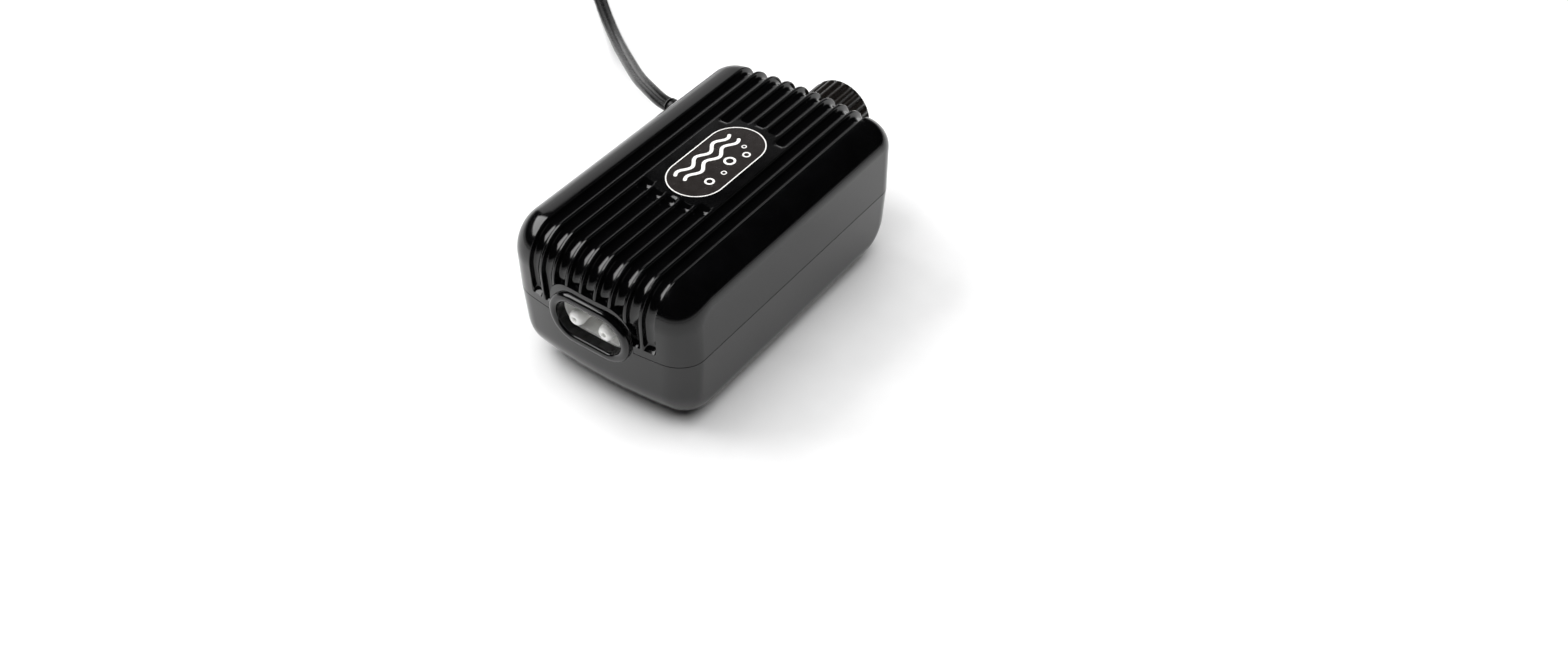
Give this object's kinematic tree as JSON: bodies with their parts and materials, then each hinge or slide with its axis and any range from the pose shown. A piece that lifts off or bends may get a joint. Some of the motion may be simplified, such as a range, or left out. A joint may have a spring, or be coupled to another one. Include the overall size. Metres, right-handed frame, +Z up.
{
  "type": "aquarium air pump",
  "caption": "Mains diaphragm air pump for an aquarium: black ribbed two-part casing, twin air outlets at the front, flow knob at the rear, flat mains cord with a plug.",
  "frame": {"origin": "under the middle of the pump, on the surface that it stands on, without the cord", "axes": "+X across the pump, +Y from the outlets to the knob, +Z up"},
  "size_m": [0.2373, 0.2845, 0.0546],
  "materials": {
    "gloss_black": "polished moulded plastic",
    "label": "printed film label, dark with a pale outline",
    "knob_black": "satin moulded plastic",
    "steel": "plated",
    "white_plastic": "moulded",
    "black_rubber": "matt",
    "felt": "pressed fibres",
    "laminations": "stacked steel sheets",
    "copper_wire": "enamelled wire",
    "arm_plastic": "moulded",
    "ferrite": "sintered",
    "chamber_plastic": "moulded",
    "flap_rubber": "silicone rubber",
    "clear_hose": "silicone tube",
    "control_plastic": "moulded",
    "board_green": "coated fibreglass",
    "component_amber": "dipped and moulded parts",
    "wire_red": "insulated wire",
    "cord_black": "glossy flexible vinyl",
    "tie_black": "coated wire tie",
    "brass": "stamped"
  },
  "bodies": {
    "housing": {"upper_casing": "gloss_black", "lower_casing": "gloss_black", "label_plate": "label", "outlet_manifold": "white_plastic", "rubber_feet": "black_rubber", "casing_screws": "steel", "filter_cover": "gloss_black", "filter_felt": "felt", "magnet_core": "laminations", "coil_bobbin": "white_plastic", "coil_winding": "copper_wire", "core_pads": "black_rubber", "core_screws": "steel", "pivot_pins": "steel", "left_diaphragm": "black_rubber", "right_diaphragm": "black_rubber", "left_valve_chamber": "chamber_plastic", "right_valve_chamber": "chamber_plastic", "left_valve_flaps": "flap_rubber", "right_valve_flaps": "flap_rubber", "left_air_hose": "clear_hose", "right_air_hose": "clear_hose", "control_body": "control_plastic", "control_nut": "steel", "circuit_board": "board_green", "board_components": "component_amber", "supply_wires": "wire_red", "inner_cord_end": "cord_black", "cord_clamp": "knob_black", "clamp_screw": "steel", "strain_relief": "cord_black", "cord_lead": "cord_black", "cord_coil": "cord_black", "cord_tie": "tie_black", "cord_tail": "cord_black", "plug_body": "cord_black", "plug_blades": "brass"},
    "knob": {"adjusting_knob": "knob_black", "knob_spindle": "steel"},
    "left_rocker": {"left_arm": "arm_plastic", "left_magnet": "ferrite", "left_bush": "black_rubber", "left_diaphragm_screw": "steel"},
    "right_rocker": {"right_arm": "arm_plastic", "right_magnet": "ferrite", "right_bush": "black_rubber", "right_diaphragm_screw": "steel"}
  },
  "joints": [
    {"name": "knob_turn", "type": "hinge", "parent": "housing", "child": "knob", "pos_m": [0, 0.0615, 0.0325], "axis": [0, 1, 0], "range_deg": [-135, 135]},
    {"name": "left_rocker_swing", "type": "hinge", "parent": "housing", "child": "left_rocker", "pos_m": [-0.018, -0.036, 0.027], "axis": [0, 0, 1], "range_deg": [-1.4, 1.4], "stiffness_Nm_per_rad": 0.5, "deforming": ["left_diaphragm"]},
    {"name": "right_rocker_swing", "type": "hinge", "parent": "housing", "child": "right_rocker", "pos_m": [0.018, -0.036, 0.027], "axis": [0, 0, 1], "range_deg": [-1.4, 1.4], "stiffness_Nm_per_rad": 0.5, "deforming": ["right_diaphragm"]}
  ],
  "couplings": [
    {"joint": "right_rocker_swing", "follows": "left_rocker_swing", "ratio": -1}
  ]
}
